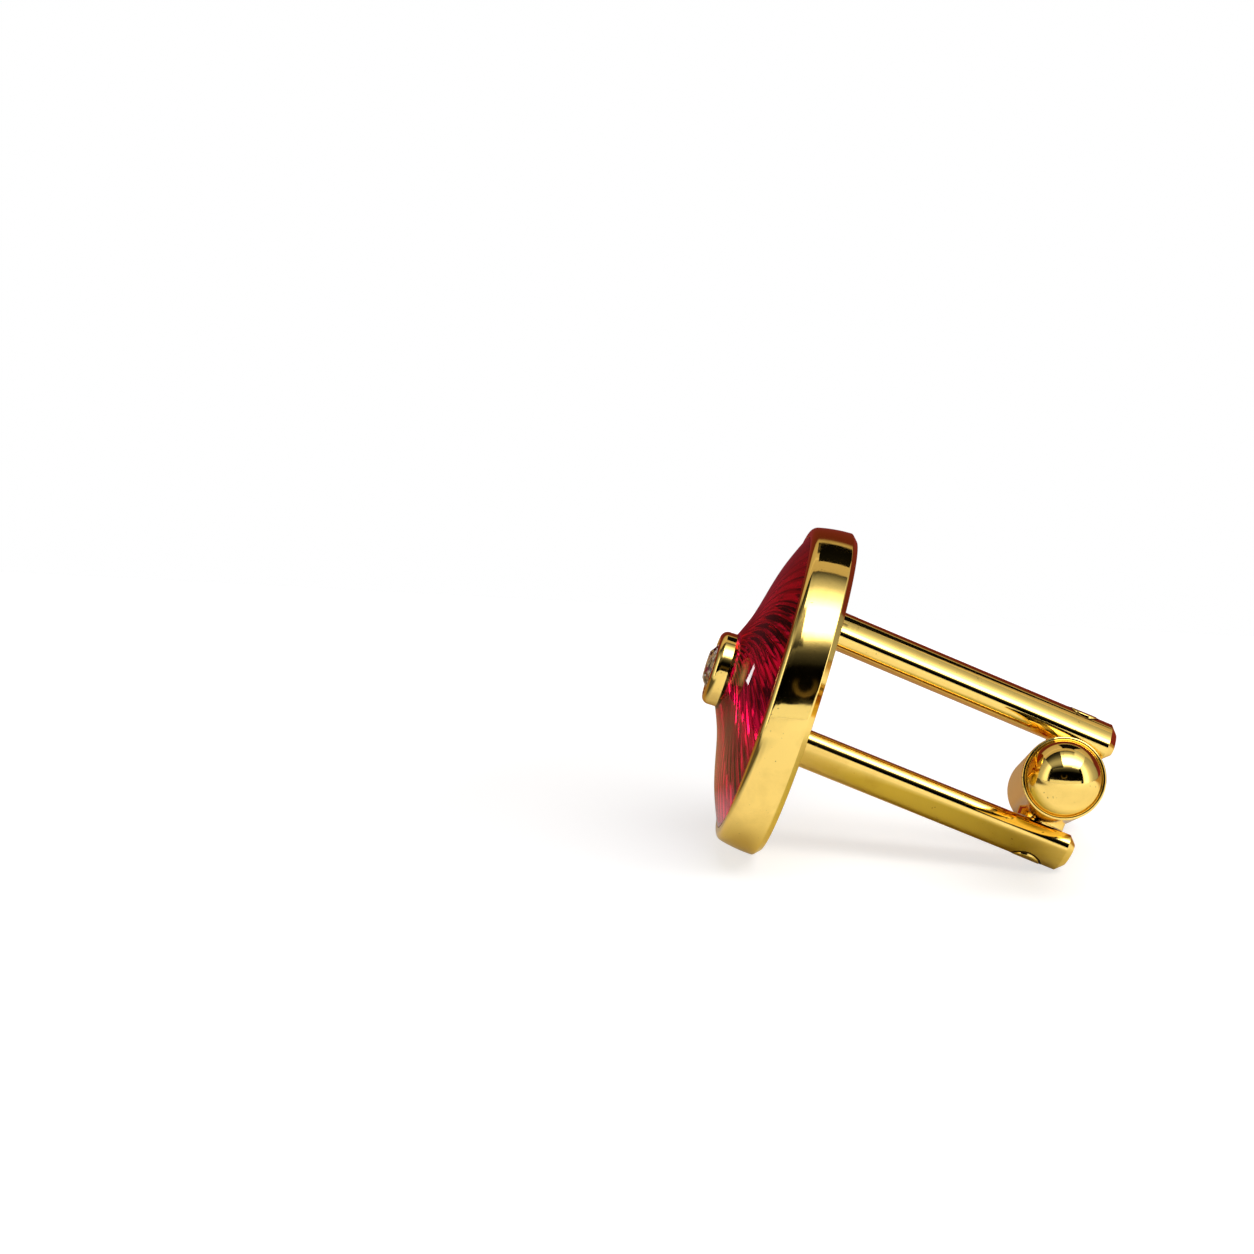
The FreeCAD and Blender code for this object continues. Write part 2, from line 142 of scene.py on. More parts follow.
# an outline of (along, out, round) corners, walked with the outside on its left: each corner becomes an arc
# of that radius that touches both sides; gives the points and their outward directions
def roundedOutline(corners, closed, stepDeg=8.0):
    places = np.array([c[:2] for c in corners], float)
    rounds = np.array([c[2] for c in corners], float)
    before = np.roll(places, 1, axis=0)
    after = np.roll(places, -1, axis=0)
    last = len(places) - 1
    points, outs = [], []
    for i in range(len(places)):
        isEnd = not closed and i in (0, last)
        arriving = places[i] - before[i] if i or closed else after[i] - places[i]
        leaving = after[i] - places[i] if i < last or closed else arriving
        arriving = arriving / np.linalg.norm(arriving)
        leaving = leaving / np.linalg.norm(leaving)
        turn = math.atan2(arriving[0] * leaving[1] - arriving[1] * leaving[0], arriving.dot(leaving))
        steps = 1 if isEnd else max(2, int(abs(math.degrees(turn)) / stepDeg) + 2)
        angles = np.linspace(0, turn, steps)
        radius = 0 if isEnd else rounds[i]
        side = math.copysign(1, turn)
        left = np.array([-arriving[1], arriving[0]])
        centre = places[i] - arriving * radius * math.tan(abs(turn) / 2) + left * side * radius
        headings = np.stack([
            arriving[0] * np.cos(angles) - arriving[1] * np.sin(angles),
            arriving[0] * np.sin(angles) + arriving[1] * np.cos(angles)], -1)
        lefts = np.stack([-headings[:, 1], headings[:, 0]], -1)
        points.append(centre - lefts * side * radius)
        outs.append(lefts)
    return np.concatenate(points), np.concatenate(outs)


# an outline turned about the frame's x axis: radius times the sine and cosine of the angle round it
def turnedMesh(name, outline, outs, where, columns, closed):
    angle = np.linspace(0, 2 * np.pi, columns, endpoint=False)[None, :]
    along, radius = outline[:, :1], outline[:, 1:]
    outAlong, outAway = outs[:, :1], outs[:, 1:]
    grid = placed(where, along, radius * np.cos(angle), radius * np.sin(angle))
    normals = turnedTo(where, outAlong, outAway * np.cos(angle), outAway * np.sin(angle))
    poleStart = not closed and abs(outline[0, 1]) < 1e-6
    poleEnd = not closed and abs(outline[-1, 1]) < 1e-6
    return surfaceMesh(name, grid, normals, closed, poleStart, poleEnd)


# materials

def newMaterial(name):
    material = bpy.data.materials.new(name)
    material.use_nodes = True
    tree = material.node_tree
    return material, tree, tree.nodes["Principled BSDF"]


# a material of the stage, empty but for its output
def stageMaterial(name):
    material = bpy.data.materials.new(name)
    material.use_nodes = True
    tree = material.node_tree
    tree.nodes.clear()
    return material, tree, tree.nodes.new("ShaderNodeOutputMaterial").inputs["Surface"]


def addNode(tree, kind, inputs=None, **values):
    node = tree.nodes.new(kind)
    for key, value in values.items():
        setattr(node, key, value)
    for key, value in (inputs or {}).items():
        node.inputs[key].default_value = value
    return node


def objectPlace(tree):
    return addNode(tree, "ShaderNodeTexCoord").outputs["Object"]


def noiseAt(tree, coordinates, scale, detail, roughness=0.5, distortion=0.0):
    noise = addNode(tree, "ShaderNodeTexNoise",
                    {"Scale": scale, "Detail": detail, "Roughness": roughness, "Distortion": distortion})
    tree.links.new(coordinates, noise.inputs["Vector"])
    return noise.outputs["Fac"]


# a value between two edges carried over to two levels, and held at them outside
def mapped(tree, value, edges, levels):
    node = addNode(tree, "ShaderNodeMapRange",
                   {"From Min": edges[0], "From Max": edges[1], "To Min": levels[0], "To Max": levels[1]})
    tree.links.new(value, node.inputs["Value"])
    return node.outputs["Result"]


# two colours mixed, each written as three numbers or taken from another node
def mixedColour(tree, factor, first, second):
    node = addNode(tree, "ShaderNodeMix", data_type="RGBA")
    tree.links.new(factor, node.inputs["Factor"])
    for socket, colour in ((node.inputs["A"], first), (node.inputs["B"], second)):
        if isinstance(colour, tuple):
            socket.default_value = (*colour, 1)
        else:
            tree.links.new(colour, socket)
    return node.outputs["Result"]


goldFinish = {
    "colour": (0.97, 0.69, 0.19),
    "edgeTint": (1.0, 0.88, 0.58),     # what is left of white at a glancing angle
    "smudgeColour": (0.82, 0.56, 0.14),
    "smudgeScale": 420.0,              # per metre, so smudges are about 2 mm
    "smudgeNoise": (5.0, 0.6, 0.4),    # detail, roughness and distortion
    "smudgeEdges": (0.5, 0.72),
    "smudgeShare": 0.75,
    "speckColour": (0.30, 0.19, 0.06),
    "speckScale": 5200.0,
    "speckDetail": 1.0,
    "speckEdges": (0.745, 0.785),
    "speckShare": 0.8,
    "rough": (0.035, 0.13),
    "roughEdges": (0.35, 0.75),
    "rippleScale": 900.0,
    "rippleDetail": 3.0,
    "rippleDepth": 0.000004,
}


# polished gold: smudges shift the colour and the roughness, a few specks are darker, fine ripples bend the
# reflections
def polishedGold(name, finish):
    material, tree, shader = newMaterial(name)
    place = objectPlace(tree)
    smudge = noiseAt(tree, place, finish["smudgeScale"], *finish["smudgeNoise"])
    smear = mapped(tree, smudge, finish["smudgeEdges"], (0.0, finish["smudgeShare"]))
    smeared = mixedColour(tree, smear, finish["colour"], finish["smudgeColour"])
    grit = noiseAt(tree, place, finish["speckScale"], finish["speckDetail"])
    speck = mapped(tree, grit, finish["speckEdges"], (0.0, finish["speckShare"]))
    spotted = mixedColour(tree, speck, smeared, finish["speckColour"])
    tree.links.new(spotted, shader.inputs["Base Color"])
    tree.links.new(mapped(tree, smudge, finish["roughEdges"], finish["rough"]), shader.inputs["Roughness"])
    ripple = noiseAt(tree, place, finish["rippleScale"], finish["rippleDetail"])
    bump = addNode(tree, "ShaderNodeBump", {"Strength": 1.0, "Distance": finish["rippleDepth"]})
    tree.links.new(ripple, bump.inputs["Height"])
    tree.links.new(bump.outputs["Normal"], shader.inputs["Normal"])
    shader.inputs["Metallic"].default_value = 1.0
    shader.inputs["Specular Tint"].default_value = (*finish["edgeTint"], 1)
    return material


# colour that drifts between two with a noise over the piece; gives the noise
def cloudedColour(tree, shader, finish):
    cloud = noiseAt(tree, objectPlace(tree), finish["cloudScale"], finish["cloudDetail"])
    colour = mixedColour(tree, cloud, finish["colour"], finish["cloudColour"])
    tree.links.new(colour, shader.inputs["Base Color"])
    return cloud


def cloudedRough(tree, shader, cloud, finish):
    rough = mapped(tree, cloud, finish["cloudEdges"], finish["rough"])
    tree.links.new(rough, shader.inputs["Roughness"])


plateFinish = {
    "colour": (0.96, 0.88, 0.88),
    "cloudColour": (0.86, 0.74, 0.74),
    "cloudScale": 900.0,
    "cloudDetail": 2.0,
    "cloudEdges": (0.3, 0.7),
    "rough": (0.05, 0.12),
}
wireFinish = {
    "colour": (0.62, 0.62, 0.64),
    "cloudColour": (0.45, 0.45, 0.47),
    "cloudScale": 6000.0,
    "cloudDetail": 3.0,
    "cloudEdges": (0.3, 0.7),
    "rough": (0.2, 0.4),
}


# metal with a fine grain in colour and roughness: the engine-turned plate and the drawn wire of the springs
def grainedMetal(name, finish):
    material, tree, shader = newMaterial(name)
    grain = cloudedColour(tree, shader, finish)
    cloudedRough(tree, shader, grain, finish)
    shader.inputs["Metallic"].default_value = 1.0
    return material


enamelFinish = {
    "colour": (0.9, 0.006, 0.08),
    "cloudColour": (0.85, 0.004, 0.055),
    "cloudScale": 500.0,
    "cloudDetail": 3.0,
    "cloudEdges": (0.3, 0.7),
    "rough": (0.0, 0.02),
    "ior": 1.36,
}


# fired enamel: red glass with faint clouds in its colour and a glossy, slightly uneven face
def redEnamel(name, finish):
    material, tree, shader = newMaterial(name)
    cloud = cloudedColour(tree, shader, finish)
    cloudedRough(tree, shader, cloud, finish)
    shader.inputs["Transmission Weight"].default_value = 1.0
    shader.inputs["IOR"].default_value = finish["ior"]
    return material


stoneFinish = {
    "colour": (0.99, 0.99, 1.0),
    "cloudColour": (0.95, 0.96, 0.97),
    "cloudScale": 3000.0,
    "cloudDetail": 2.0,
    "rough": 0.0,
    "ior": 2.42,
}


# cut stone: clear and strongly refracting, with the faintest cloud
def clearStone(name, finish):
    material, tree, shader = newMaterial(name)
    cloudedColour(tree, shader, finish)
    shader.inputs["Roughness"].default_value = finish["rough"]
    shader.inputs["Transmission Weight"].default_value = 1.0
    shader.inputs["IOR"].default_value = finish["ior"]
    return material


# colours of the painted shade in the seam round the pin
shadeRingFinish = {
    "colour": (0.05, 0.025, 0.008),
    "cloudColour": (0.14, 0.07, 0.02),
    "cloudScale": 4000.0,
    "cloudDetail": 2.0,
    "rough": 0.35,
}


# painted shade of the seam round the pin: dark brown gold with lighter traces
def paintedShadeRing(name, finish):
    material, tree, shader = newMaterial(name)
    cloudedColour(tree, shader, finish)
    shader.inputs["Metallic"].default_value = 1.0
    shader.inputs["Roughness"].default_value = finish["rough"]
    return material


gold = polishedGold("yellow_gold", goldFinish)
# painted shade for the seams round the pin's ends
shadeRingMaterial = paintedShadeRing("painted_seam_shade", shadeRingFinish)
plate = grainedMetal("engraved_plate", plateFinish)
enamelGlass = redEnamel("red_enamel", enamelFinish)
finishes = {
    "yellow_gold": gold,
    "engraved_gold": plate,
    "red_enamel": enamelGlass,
    "clear_stone": clearStone("clear_stone", stoneFinish),
    "spring_steel": grainedMetal("spring_steel", wireFinish),
}
for part in record["subparts"]:
    shown = nodes[part["node"]].data
    shown.materials.clear()
    shown.materials.append(finishes[part["material_slot"]])
print("materials made")


# rim

rim = {
    "lipRadius": 7.75,
    "lipDepth": 0.3,
    "shoulder": (0.03, 8.27),
    "bandStart": 0.5,
    "bandEnd": 2.05,
    "bandPoints": 7,
    "bandRadius": 8.575,
    "bandCrest": 2.15,       # where along the axis the band would be widest
    "bandBend": 0.066,       # how fast the band falls away from there towards the front
    "landRadius": 8.27,
    "seatRadius": 8.07,
    "backFront": 1.8,
    "ledgeRadius": 7.4,
    "ledgeDepth": 0.75,
    "grooveRadius": 7.9,
    "columns": 360,
}
rimRound = {
    "lipInside": 0.02,
    "lip": 0.05,
    "shoulder": 0.42,
    "bandStart": 2.0,
    "band": 7.0,
    "bandEnd": 0.14,
    "land": 0.06,
    "ledge": 0.05,
    "inside": 0.03,
}
bandAlong = np.linspace(rim["bandStart"], rim["bandEnd"], rim["bandPoints"])
bandOut = rim["bandRadius"] - rim["bandBend"] * (rim["bandCrest"] - bandAlong) ** 2
rimOutline = roundedOutline([
    (rim["lipDepth"], rim["lipRadius"], rimRound["lipInside"]),
    (0.0, rim["lipRadius"], rimRound["lip"]),
    (*rim["shoulder"], rimRound["shoulder"]),
    (bandAlong[0], bandOut[0], rimRound["bandStart"]),
    *[(along, out, rimRound["band"]) for along, out in zip(bandAlong[1:-1], bandOut[1:-1])],
    (bandAlong[-1], bandOut[-1], rimRound["bandEnd"]),
    (rimDepth, rim["landRadius"], rimRound["land"]),
    (rimDepth, rim["seatRadius"], rimRound["inside"]),
    (rim["backFront"], rim["seatRadius"], rimRound["inside"]),
    (rim["backFront"], rim["ledgeRadius"], rimRound["ledge"]),
    (rim["ledgeDepth"], rim["ledgeRadius"], rimRound["ledge"]),
    (rim["ledgeDepth"], rim["grooveRadius"], rimRound["inside"]),
    (rim["lipDepth"], rim["grooveRadius"], rimRound["inside"]),
], True)
rimMesh = turnedMesh("rim_ring", *rimOutline, headFrame, rim["columns"], True)
newPiece("rim_ring", rimMesh, "head", gold, ["rim"])


# dial: the trumpet curve, and the swirl cut into the plate under the enamel

dial = {
    "outerRadius": 7.73,
    "innerRadius": 1.94,
    "rise": 1.95,
    "placeShares": (0.0, 0.18, 0.415, 0.72, 1.0),
    "riseShares": (1.0, 0.78, 0.588, 0.341, 0.0),
    "lines": 52,
    "columnsPerLine": 12,
    "lineShare": 0.98,       # how much of its pitch the columns of a line take up
    "rows": 130,
    "underCollet": 0.4,      # how far the plate goes on under the collet
    "edgeGap": 0.02,
    "thickness": 0.25,
    "swirlTan": 0.72,        # how fast the lines bend round, as a share of the logarithm of the radius
    "crestDepth": 0.3,       # enamel over the crests
    "cutDepth": 0.155,       # depth of the cuts at the lip, less towards the collet
    "cutShares": (0.0, 0.08, 0.72, 0.92, 1.0),
    "cutDepthShares": (0.0, 0.0, 1.0, 0.0, 0.0),
    "waver": 0.08,           # how much a cut gets deeper and shallower along its way
    "waverPitch": 2.3,
    "waverStep": 0.618,      # from one line to the next, in turns
    "sharpDeg": 28.0,
    "glassThickness": 0.52,
    "glassColumns": 300,
    "glassRows": 48,
    "glassSharpDeg": 40.0,
}


# natural cubic spline through the shares: the second derivatives solve one small linear system
def dialHeight(radius):
    span = dial["outerRadius"] - dial["innerRadius"]
    knots = dial["innerRadius"] + np.array(dial["placeShares"]) * span
    values = np.array(dial["riseShares"]) * dial["rise"]
    step = np.diff(knots)
    count = len(knots)
    system = np.eye(count)
    right = np.zeros(count)
    for i in range(1, count - 1):
        system[i, i - 1:i + 2] = step[i - 1], 2 * (step[i - 1] + step[i]), step[i]
        right[i] = 6 * ((values[i + 1] - values[i]) / step[i] - (values[i] - values[i - 1]) / step[i - 1])
    bend = np.linalg.solve(system, right)
    k = np.clip(np.searchsorted(knots, radius) - 1, 0, count - 2)
    before, after = radius - knots[k], knots[k + 1] - radius
    width = step[k]
    curved = (bend[k] * after ** 3 + bend[k + 1] * before ** 3) / (6 * width)
    fromInside = (values[k] / width - bend[k] * width / 6) * after
    fromOutside = (values[k + 1] / width - bend[k + 1] * width / 6) * before
    return curved + fromInside + fromOutside


# engraved face: columns follow the swirl, angle = column + swirl * log(radius); each line is an uneven vee
# between two narrow lands, deeper outwards, and its depth wavers along the line with a phase of its own
def engravedGrid(extraDepth):
    columns = dial["lines"] * dial["columnsPerLine"]
    start, end = dial["innerRadius"] - dial["underCollet"], dial["outerRadius"] - dial["edgeGap"]
    radius = np.linspace(start, end, dial["rows"])[:, None]
    share = (np.arange(columns) % dial["columnsPerLine"])[None, :] / (dial["columnsPerLine"] - 1)
    line = (np.arange(columns) // dial["columnsPerLine"])[None, :]
    angle = 2 * np.pi * (line + share * dial["lineShare"]) / dial["lines"]
    angle = angle + dial["swirlTan"] * np.log(radius / dial["outerRadius"])
    cut = np.interp(share, dial["cutShares"], dial["cutDepthShares"])
    phase = 2 * np.pi * ((line * dial["waverStep"]) % 1.0)
    waver = 1 + dial["waver"] * np.sin(2 * np.pi * radius / dial["waverPitch"] + phase)
    depth = dial["cutDepth"] * radius / dial["outerRadius"] * cut * waver
    height = dialHeight(np.maximum(radius, dial["innerRadius"]))
    along = -height + dial["crestDepth"] + depth + extraDepth
    return placed(headFrame, along, radius * np.cos(angle), radius * np.sin(angle))


# face of the enamel: the trumpet curve turned about the dial's axis, sunk by a depth
def enamelGrid(depth):
    radius = np.linspace(dial["innerRadius"], dial["outerRadius"], dial["glassRows"])[:, None]
    angle = np.linspace(0, 2 * np.pi, dial["glassColumns"], endpoint=False)[None, :]
    return placed(headFrame, depth - dialHeight(radius), radius * np.cos(angle), radius * np.sin(angle))


# a front face and a back face joined all round
def dialShell(name, front, back, sharpDeg):
    mesh = surfaceMesh(name, np.concatenate([front, back[::-1]]), closedRows=True)
    mesh.set_sharp_from_angle(angle=math.radians(sharpDeg))
    return mesh


swirlBack = engravedGrid(dial["thickness"])
swirlMesh = dialShell("dial_swirl", engravedGrid(0.0), swirlBack, dial["sharpDeg"])
newPiece("dial_swirl", swirlMesh, "head", plate, ["dial_plate"])
glassBack = enamelGrid(dial["glassThickness"])
glassMesh = dialShell("enamel_glass", enamelGrid(0.0), glassBack, dial["glassSharpDeg"])
newPiece("enamel_glass", glassMesh, "head", enamelGlass, ["enamel"])
print("dial made")


# collet

collet = {
    "top": -2.75,
    "seat": -1.65,
    "radius": 1.92,
    "shoulderRound": 0.38,
    "edgeRound": 0.02,
    "crest": 1.51,
    "groove": 1.45,
    "grooveDepth": 0.2,
    "lip": 1.33,
    "lipWidth": 0.06,
    "lipDrop": 0.05,
    "stone": 1.22,
    "stoneDepths": (0.12, 0.2),      # the wall round the stone's girdle
    "boreRadius": 0.45,
    "boreDepths": (0.86, 1.3),
    "stemRadius": 0.7,
    "stemLength": 0.6,
    "columns": 180,
}
colletCorners = [
    (collet["top"] + collet["boreDepths"][1], 0.0),
    (collet["top"] + collet["boreDepths"][1], collet["boreRadius"]),
    (collet["top"] + collet["boreDepths"][0], collet["boreRadius"]),
    (collet["top"] + collet["stoneDepths"][1], collet["stone"]),
    (collet["top"] + collet["stoneDepths"][0], collet["stone"]),
    (collet["top"], collet["lip"]),
    (collet["top"] + collet["lipDrop"], collet["lip"] + collet["lipWidth"]),
    (collet["top"] + collet["grooveDepth"], collet["groove"]),
    (collet["top"], collet["crest"]),
    (collet["top"], collet["radius"], collet["shoulderRound"]),
    (collet["seat"], collet["radius"]),
    (collet["seat"], collet["stemRadius"]),
    (collet["seat"] + collet["stemLength"], collet["stemRadius"]),
]
colletOutline = roundedOutline([(*c, collet["edgeRound"])[:3] for c in colletCorners], False)
colletMesh = turnedMesh("collet_cup", *colletOutline, headFrame, collet["columns"], False)
newPiece("collet_cup", colletMesh, "head", gold, ["stone_collet"])


# posts and pin

post = {
    "start": -14.3,          # along the shank from the pivot
    "end": 1.95,
    "bevel": 0.38,
    "bevelRounds": (0.03, 0.05),
    "endInset": 0.1,         # how far the flat end goes in before it closes to a point
    "halfWidth": 1.5,
    "widest": 2.76,
    "outerDome": 1.25,
    "innerDome": 0.68,
    "pinchShare": 0.3,       # how much the outer oval is drawn in at its flanks
    "closingDeg": 0.4,       # how far each post closes in towards the toggle
    "columns": 120,
}
closing = math.tan(math.radians(post["closingDeg"]))


# section of a post, drawn in by an inset: outside width times cosine and dome height times sine, less at the
# flanks by a share of the squared cosine; inside a flat between two quarter circles
def postSection(inset):
    angle = np.linspace(0, 2 * np.pi, post["columns"], endpoint=False)[None, :]
    outside = np.sin(angle) >= 0
    dome = np.where(outside, post["outerDome"], post["innerDome"]) - inset
    reach = np.where(outside, post["halfWidth"], post["innerDome"]) - inset
    flat = np.where(outside, 0, post["halfWidth"] - post["innerDome"]) * np.sign(np.cos(angle).round(6))
    pinch = np.where(outside, post["pinchShare"], 0)
    across = flat + reach * np.cos(angle)
    up = dome * np.sin(angle) * (1 - pinch * np.cos(angle) ** 2)
    outAcross = dome * np.cos(angle) * (1 - pinch + 3 * pinch * np.sin(angle) ** 2)
    outUp = reach * np.sin(angle)
    size = np.hypot(outAcross, outUp)
    return across, up, outAcross / size, outUp / size


# level of a post's outer face over the pivot, from the same curve
def postCrown(across):
    share = across / post["halfWidth"]
    pinched = 1 - post["pinchShare"] * share ** 2
    return post["widest"] + post["outerDome"] * np.sqrt(1 - share ** 2) * pinched


# post: its section carried along the shank, drawn in at the bevelled end and closed to a point at both ends;
# its level falls with the way along, by the tangent of the closing angle
def postMesh(name, side):
    ends, outs = roundedOutline([
        (post["start"], 0.0, 0.0),
        (post["end"] - post["bevel"], 0.0, post["bevelRounds"][0]),
        (post["end"], -post["bevel"], post["bevelRounds"][1]),
        (post["end"], -post["bevel"] - post["endInset"], 0.0),
    ], False)
    lean, tilt = outs[:, :1], outs[:, 1:]
    across, up, outAcross, outUp = postSection(-ends[:, 1:])
    point = np.zeros_like(across[:1])
    alongAll = np.concatenate([point + post["start"], ends[:, :1] + point, point + post["end"]])
    acrossAll = np.concatenate([point, across, point])
    upAll = np.concatenate([point, up, point])
    level = side * (post["widest"] + upAll - alongAll * closing)
    outX = np.concatenate([point - 1, lean + point, point + 1])
    outY = np.concatenate([point, outAcross * tilt, point])
    outZ = np.concatenate([point, outUp * tilt, point])
    grid = placed(shankFrame, alongAll, acrossAll, level)
    normals = turnedTo(shankFrame, outX, outY, side * outZ)
    return surfaceMesh(name, grid, normals, False, True, True)


newPiece("post_bar_upper", postMesh("post_bar_upper", 1), "head", gold, ["upper_post"])
newPiece("post_bar_lower", postMesh("post_bar_lower", -1), "head", gold, ["lower_post"])

pin = {
    "radius": 0.75,
    "lift": 0.03,
    "flatShare": 0.5,        # how much flatter its ends are than the posts' faces
    "edge": 0.05,
    "edgeShare": 0.1,        # share of the radius over which the edge is rounded
    "rows": 8,
    "columns": 96,
    "sharpDeg": 50.0,
}


# riveted pin: a rod whose two ends are flatter than the posts' faces and a little proud, with an edge rounded
# as a quarter of an ellipse
def pinMesh(name):
    angle = np.linspace(0, 2 * np.pi, pin["columns"], endpoint=False)[None, :]
    flatEnd = 1 - pin["edgeShare"]
    bend = np.sin(np.linspace(0, np.pi / 2, pin["rows"]))[1:]
    share = np.concatenate([np.linspace(0, flatEnd, pin["rows"]), 1 - pin["edgeShare"] * (1 - bend)])[:, None]
    overEdge = ((share - flatEnd) / pin["edgeShare"]).clip(0)
    drop = pin["edge"] * (1 - np.sqrt((1 - overEdge ** 2).clip(0, 1)))
    across = share * pin["radius"] * np.sin(angle)
    along = share * pin["radius"] * np.cos(angle)
    dome = postCrown(across)
    crown = post["widest"] + post["outerDome"]
    top = dome + (crown - dome) * pin["flatShare"] + pin["lift"] - drop
    grid = placed(shankFrame, np.concatenate([along, along[::-1]]), np.concatenate([across, across[::-1]]),
                  np.concatenate([top, -top[::-1]]))
    mesh = surfaceMesh(name, grid, None, False, True, True)
    mesh.set_sharp_from_angle(angle=math.radians(pin["sharpDeg"]))
    return mesh


newPiece("rivet_pin", pinMesh("rivet_pin"), "head", gold, ["pivot_pin"])

seam = {"inner": 0.74, "outer": 0.85, "lift": 0.008, "columns": 96}


# painted shade of the seam round each end of the pin: a narrow dark ring that lies on the post's outer dome
def seamMesh(name, side):
    angle = np.linspace(0, 2 * np.pi, seam["columns"], endpoint=False)[None, :]
    radius = np.array([seam["inner"], seam["outer"]])[:, None]
    across = radius * np.sin(angle)
    along = radius * np.cos(angle)
    level = postCrown(across) + seam["lift"] - along * closing
    return surfaceMesh(name, placed(shankFrame, along, across, side * level))


newPiece("pin_seam_upper", seamMesh("pin_seam_upper", 1), "head", shadeRingMaterial)
newPiece("pin_seam_lower", seamMesh("pin_seam_lower", -1), "head", shadeRingMaterial)


# toggle

toggle = {
    "ballRadius": 1.85,
    "ballCentre": 7.8,
    "ballRows": 97,
    "ballColumns": 192,
    "barrelRadius": 2.03,
    "mouth": 8.08,
    "mouthRounds": (0.1, 0.09),      # outside and inside
    "bore": 1.83,
    "innerBore": 1.55,
    "boreRound": 0.02,
    "seat": 6.79,
    "columns": 240,
}
barrelOutline = roundedOutline([
    (-toggle["mouth"], toggle["barrelRadius"], toggle["mouthRounds"][0]),
    (toggle["mouth"], toggle["barrelRadius"], toggle["mouthRounds"][0]),
    (toggle["mouth"], toggle["bore"], toggle["mouthRounds"][1]),
    (toggle["seat"], toggle["bore"], toggle["boreRound"]),
    (toggle["seat"], toggle["innerBore"], toggle["boreRound"]),
    (-toggle["seat"], toggle["innerBore"], toggle["boreRound"]),
    (-toggle["seat"], toggle["bore"], toggle["boreRound"]),
    (-toggle["mouth"], toggle["bore"], toggle["mouthRounds"][1]),
], True)
barrelMesh = turnedMesh("barrel_tube", *barrelOutline, toggleFrame, toggle["columns"], True)
newPiece("barrel_tube", barrelMesh, "toggle", gold, ["toggle_barrel"])


# ball: a half circle turned about the toggle's axis
def ballMesh(name, side):
    angle = np.linspace(np.pi, 0, toggle["ballRows"])
    outs = np.stack([np.cos(angle), np.sin(angle)], -1)
    outline = outs * toggle["ballRadius"] + np.array([side * toggle["ballCentre"], 0])
    return turnedMesh(name, outline, outs, toggleFrame, toggle["ballColumns"], False)


newPiece("ball_left", ballMesh("ball_left", 1), "toggle", gold, ["end_ball_left"])
newPiece("ball_right", ballMesh("ball_right", -1), "toggle", gold, ["end_ball_right"])
print("pieces made")


# stage: a white floor, and the panels of a light tent that only mirrors show; all in millimetres

def stageCard(name, corners, material):
    mesh = bpy.data.meshes.new(name)
    mesh.from_pydata([tuple(np.array(c) * mm) for c in corners], [], [(0, 1, 2, 3)])
    card = bpy.data.objects.new(name, mesh)
    bpy.context.scene.collection.objects.link(card)
    mesh.materials.append(material)
    return card


# corners of a level card, of one that stands across the view and of one that stands at the side
def levelCorners(x, y, z):
    return [(x[0], y[0], z), (x[1], y[0], z), (x[1], y[1], z), (x[0], y[1], z)]


def acrossCorners(x, y, z):
    return [(x[0], y, z[0]), (x[1], y, z[0]), (x[1], y, z[1]), (x[0], y, z[1])]


def sideCorners(x, y, z):
    return [(x, y[0], z[0]), (x, y[1], z[0]), (x, y[1], z[1]), (x, y[0], z[1])]


# light along a card: strength read from a ramp over one Object coordinate, between stops of place and colour
def cardLight(name, axis, stops):
    material, tree, surface = stageMaterial(name)
    split = addNode(tree, "ShaderNodeSeparateXYZ")
    tree.links.new(objectPlace(tree), split.inputs[0])
    low, high = stops[0][0], stops[-1][0]
    along = mapped(tree, split.outputs[axis], (low * mm, high * mm), (0.0, 1.0))
    ramp = addNode(tree, "ShaderNodeValToRGB")
    elements = ramp.color_ramp.elements
    for where, colour in stops[1:-1]:
        elements.new((where - low) / (high - low))
    peak = max(max(colour) for where, colour in stops)
    for element, (where, colour) in zip(elements, stops):
        element.color = (*[c / peak for c in colour], 1)
    emission = addNode(tree, "ShaderNodeEmission", {"Strength": peak})
    tree.links.new(along, ramp.inputs["Fac"])
    tree.links.new(ramp.outputs["Color"], emission.inputs["Color"])
    tree.links.new(emission.outputs["Emission"], surface)
    return material


def greyStops(*stops):
    return [(where, (level, level, level)) for where, level in stops]


stageFloor = {
    "size": 140.0,
    "back": 66.0,
    "colour": (0.42, 0.42, 0.42),
    "glow": (0.68, 1.0),                 # for the camera, near the object and far from it
    "glowEdges": (25.0, 60.0),
    "mirroredColour": (0.72, 0.72, 0.72),
    "mirroredGlow": 0.26,
    "behindShadeColour": (0.5, 0.32, 0.15),   # warm painted shade on the floor behind the object, as the gold mirrors it
    "behindEdges": (2.0, 11.0),
    "leftShadeColour": (0.12, 0.11, 0.1),     # painted shade on the floor beside the dial, which the enamel mirrors
    "leftEdges": (-13.0, -22.0),
    "leftFront": (-32.0, -18.0),
    "underColour": (0.52, 0.51, 0.21),   # floor beside the posts, in shadow and lit by the gold
    "underPlace": (1.0, -2.0),
    "underStretch": 1.6,
    "underEdges": (8.0, 3.0),
}


def mathNode(tree, operation, *values):
    node = addNode(tree, "ShaderNodeMath", operation=operation)
    for value, socket in zip(values, node.inputs):
        tree.links.new(value, socket)
    return node.outputs[0]


# share of a zone that sets in between two edges, in millimetres
def zoneShare(tree, value, edges):
    return mapped(tree, value, (edges[0] * mm, edges[1] * mm), (0.0, 1.0))


